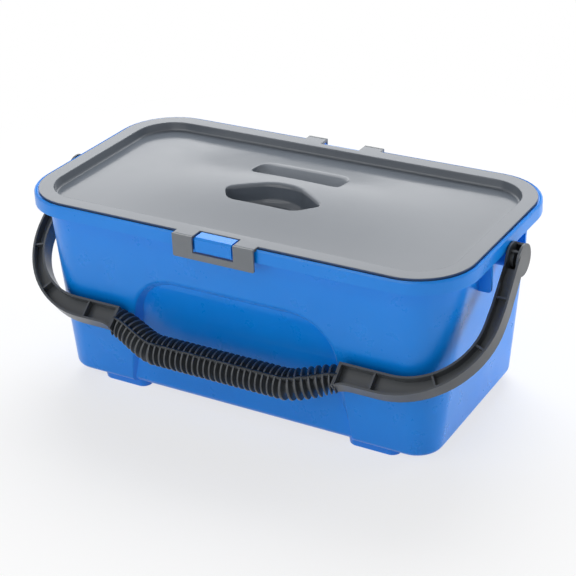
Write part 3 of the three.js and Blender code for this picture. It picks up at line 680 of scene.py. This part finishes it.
def disc_profile():
    """Distance along a disc and inset from the grip's surface, from groove to groove over its round rim."""
    bow = DISC_ROUNDING * (1 - math.cos(math.pi / 4))
    return [
        (0, GROOVE_DEPTH), (0, DISC_ROUNDING), (bow, bow), (DISC_ROUNDING, 0),
        (DISC_THICKNESS - DISC_ROUNDING, 0), (DISC_THICKNESS - bow, bow),
        (DISC_THICKNESS, DISC_ROUNDING), (DISC_THICKNESS, GROOVE_DEPTH),
    ]


def build_grip():
    """Thin discs with rounded rims on a core, cut flat behind near the grip's ends, and a ridge in front."""
    bm = bmesh.new()
    pitch = (2 * GRIP_HALF - DISC_THICKNESS) / (DISC_COUNT - 1)
    rings = [grip_ring_matrix(-GRIP_HALF + disc * pitch + along, inset)
             for disc in range(DISC_COUNT) for along, inset in disc_profile()]
    ring = bmesh.ops.create_circle(bm, segments=DISC_SEGMENTS, radius=1, matrix=ONTO_X)["verts"]
    bmesh.ops.transform(bm, matrix=rings[0], verts=ring)
    edges = list(bm.edges)
    for before, after in zip(rings, rings[1:]):
        grown = bmesh.ops.extrude_edge_only(bm, edges=edges)["geom"]
        edges = [item for item in grown if isinstance(item, bmesh.types.BMEdge)]
        bmesh.ops.transform(bm, matrix=after @ before.inverted(), verts=new_verts(grown))
    bmesh.ops.holes_fill(bm, edges=[edge for edge in bm.edges if edge.is_boundary], sides=0)
    for vert in bm.verts:
        vert.co.z = max(vert.co.z, -grip_at(vert.co.x)[2])
    add_spine(bm)
    bmesh.ops.recalc_face_normals(bm, faces=bm.faces)
    bmesh.ops.transform(bm, matrix=handle_matrix(), verts=bm.verts)
    finished(bm, "bail_grip", "bail", "bail", black_polypropylene)


def spine_matrix(x):
    """Takes a unit square about X to the ridge's section, from the grip's front to half a groove's depth
    short of its middle line."""
    drop, radius, _ = grip_at(x)
    height = radius - GROOVE_DEPTH / 2
    return (Matrix.Translation((x, -drop, HANDLE_FRONT - height / 2))
            @ Matrix.Diagonal((1, SPINE_WIDTH, height, 1)))


def add_spine(bm):
    """The ridge along the front of the grip: a thin strip's section, extruded along the middle line."""
    places = [spine_matrix(GRIP_HALF * (2 * k / SPINE_STEPS - 1)) for k in range(SPINE_STEPS + 1)]
    section = bmesh.ops.create_grid(bm, x_segments=1, y_segments=1, size=0.5, matrix=ONTO_X)["verts"]
    face = section[0].link_faces[0]
    bmesh.ops.transform(bm, matrix=places[0], verts=section)
    for k, (before, after) in enumerate(zip(places, places[1:])):
        grown = bmesh.ops.extrude_face_region(bm, geom=[face], use_keep_orig=(k == 0))["geom"]
        face = next(item for item in grown if isinstance(item, bmesh.types.BMFace))
        bmesh.ops.transform(bm, matrix=after @ before.inverted(), verts=new_verts(grown))


def arm_mesh(bm, side):
    """One arm of the handle as a mesh: the copy cut off at the grip, closed and pushed a little into it."""
    arm = bm.copy()
    bmesh.ops.bisect_plane(arm, geom=arm.verts[:] + arm.edges[:] + arm.faces[:], dist=WELD,
                           plane_co=(side * (GRIP_HALF + ARM_CUT_GAP), 0, 0),
                           plane_no=(side, 0, 0), clear_inner=True)
    open_edges = [edge for edge in arm.edges if edge.is_boundary]
    caps = bmesh.ops.holes_fill(arm, edges=open_edges, sides=0)["faces"]
    rim = {vert for face in caps for vert in face.verts}
    bmesh.ops.translate(arm, vec=(-side * ARM_OVERLAP, 0, 0), verts=list(rim))
    mesh = bpy.data.meshes.new("arm")
    arm.to_mesh(mesh)
    arm.free()
    return mesh


def add_arm_end(bm, side):
    """The plate that closes an arm at the grip, and the cap that fills its eye over the pin."""
    plate_middle = (side * (GRIP_HALF - DISC_THICKNESS / 2 + END_PLATE_OVERLAP),
                    -(INNER_EDGE_DROP + ARM_END_DROP) / 2, (HANDLE_FRONT - HANDLE_BACK) / 2)
    plate_size = (DISC_THICKNESS, ARM_END_DROP - INNER_EDGE_DROP, HANDLE_FRONT + HANDLE_BACK, 1)
    bmesh.ops.create_cube(bm, size=1, matrix=Matrix.Translation(plate_middle) @ Matrix.Diagonal(plate_size))
    hub = Matrix.Translation((side * (EYE_INNER + HUB_LENGTH / 2), 0, 0)) @ ONTO_X
    bmesh.ops.create_cone(bm, cap_ends=True, segments=HUB_SEGMENTS, radius1=HUB_RADIUS, radius2=HUB_RADIUS,
                          depth=HUB_LENGTH - 2 * EYE_SET, matrix=hub)


def build_arms():
    """The two arms with their eyes: the node's copy, cut off where the grip begins."""
    bm = welded_copy("bail")
    to_plane = handle_matrix().inverted()
    bmesh.ops.transform(bm, matrix=to_plane, verts=bm.verts)
    meshes = [arm_mesh(bm, side) for side in (1, -1)]
    bm.clear()
    for mesh in meshes:
        bm.from_mesh(mesh)
        bpy.data.meshes.remove(mesh)
    for side in (1, -1):
        add_arm_end(bm, side)
    round_edges(bm, sharp_edges(bm), BAIL_EDGE)
    bmesh.ops.transform(bm, matrix=to_plane.inverted(), verts=bm.verts)
    finished(bm, "bail_arms", "bail", "bail", black_polypropylene)


# Floor, lamps and camera

def shows_studio(tree):
    """1 for the rays that show the studio: the camera's, and those that plastic mirrors or lets through."""
    rays = add_node(tree, "ShaderNodeLightPath")
    direct = add_node(tree, "ShaderNodeMath", {
        0: rays.outputs["Is Camera Ray"], 1: rays.outputs["Is Glossy Ray"]}, operation="MAXIMUM")
    every = add_node(tree, "ShaderNodeMath", {
        0: direct.outputs[0], 1: rays.outputs["Is Transmission Ray"]}, operation="MAXIMUM")
    return every.outputs[0]


def white_paper():
    """Matt white paper, whose own shading shows the shadow near the tub and gives way to plain white
    further off, so that it has no horizon."""
    material = bpy.data.materials.new("white_paper_floor")
    material.use_nodes = True
    tree = material.node_tree
    tree.nodes.clear()
    place = add_node(tree, "ShaderNodeTexCoord").outputs["Object"]
    distance = add_node(tree, "ShaderNodeVectorMath", {0: place}, operation="LENGTH")
    whiteness = add_node(tree, "ShaderNodeMapRange", {
        "Value": distance.outputs["Value"], "From Min": FLOOR_NEAR, "From Max": FLOOR_FAR,
        "To Min": FLOOR_WHITE_SHARE, "To Max": 1})
    share = add_node(tree, "ShaderNodeMath", {
        0: shows_studio(tree), 1: whiteness.outputs["Result"]}, operation="MULTIPLY")
    paper = add_node(tree, "ShaderNodeBsdfDiffuse", {"Color": linear("#F6F6F6")})
    white = add_node(tree, "ShaderNodeEmission", {"Color": linear("#FFFFFF"), "Strength": 1})
    both = add_node(tree, "ShaderNodeMixShader", {
        0: share.outputs[0], 1: paper.outputs[0], 2: white.outputs[0]})
    add_node(tree, "ShaderNodeOutputMaterial", {"Surface": both.outputs[0]})
    return material


def build_floor():
    """A round sheet of paper under the feet, wide enough to fill the view."""
    bm = bmesh.new()
    bmesh.ops.create_circle(bm, cap_ends=True, segments=64, radius=FLOOR_RADIUS,
                            matrix=Matrix.Translation((0, 0, cad_box[0][2])))
    mesh = bpy.data.meshes.new("studio_floor")
    bm.to_mesh(mesh)
    bm.free()
    mesh.materials.append(white_paper())
    floor = bpy.data.objects.new("studio_floor", mesh)
    bpy.context.scene.collection.objects.link(floor)


def add_softbox(name, place, aim, width, height, watts, mirrored):
    """A rectangular lamp at a place, turned to what it lights."""
    lamp = bpy.data.lights.new(name, "AREA")
    lamp.shape = "RECTANGLE"
    lamp.size = width
    lamp.size_y = height
    lamp.energy = watts
    holder = bpy.data.objects.new(name, lamp)
    holder.location = place
    holder.rotation_euler = (Vector(aim) - Vector(place)).to_track_quat("-Z", "Y").to_euler()
    holder.visible_glossy = mirrored
    bpy.context.scene.collection.objects.link(holder)


def build_world():
    """White for the rays that show the studio, dimmer as a light."""
    world = bpy.data.worlds.new("studio")
    world.use_nodes = True
    tree = world.node_tree
    tree.nodes.clear()
    strength = add_node(tree, "ShaderNodeMapRange", {
        "Value": shows_studio(tree), "To Min": WORLD_LIGHT, "To Max": 1})
    white = add_node(tree, "ShaderNodeBackground", {
        "Color": linear("#FFFFFF"), "Strength": strength.outputs["Result"]})
    add_node(tree, "ShaderNodeOutputWorld", {"Surface": white.outputs["Background"]})
    bpy.context.scene.world = world


def build_camera():
    """The camera of the photograph, looking back along its fitted direction and rolled to its horizon."""
    camera = bpy.data.cameras.new("camera")
    camera.sensor_width = SENSOR_MM
    camera.lens = FOCAL_PIXELS / FRAME_PIXELS * SENSOR_MM
    back = Vector((math.sin(CAMERA_AZIMUTH) * math.cos(CAMERA_ELEVATION),
                   -math.cos(CAMERA_AZIMUTH) * math.cos(CAMERA_ELEVATION), math.sin(CAMERA_ELEVATION)))
    right = (-back).cross(Vector((0, 0, 1))).normalized()
    up = right.cross(-back)
    turn = Matrix((right, up, back)).transposed().to_4x4() @ Matrix.Rotation(CAMERA_ROLL, 4, "Z")
    holder = bpy.data.objects.new("camera", camera)
    holder.matrix_world = Matrix.Translation(CAMERA_PLACE) @ turn
    bpy.context.scene.collection.objects.link(holder)
    bpy.context.scene.camera = holder


build_tub()
build_lid()
build_clip("front_clip")
build_clip("rear_clip")
build_arms()
build_grip()

build_floor()
for lamp_values in LAMPS:
    add_softbox(*lamp_values)
build_world()
build_camera()
bpy.context.scene.view_settings.view_transform = "Standard"
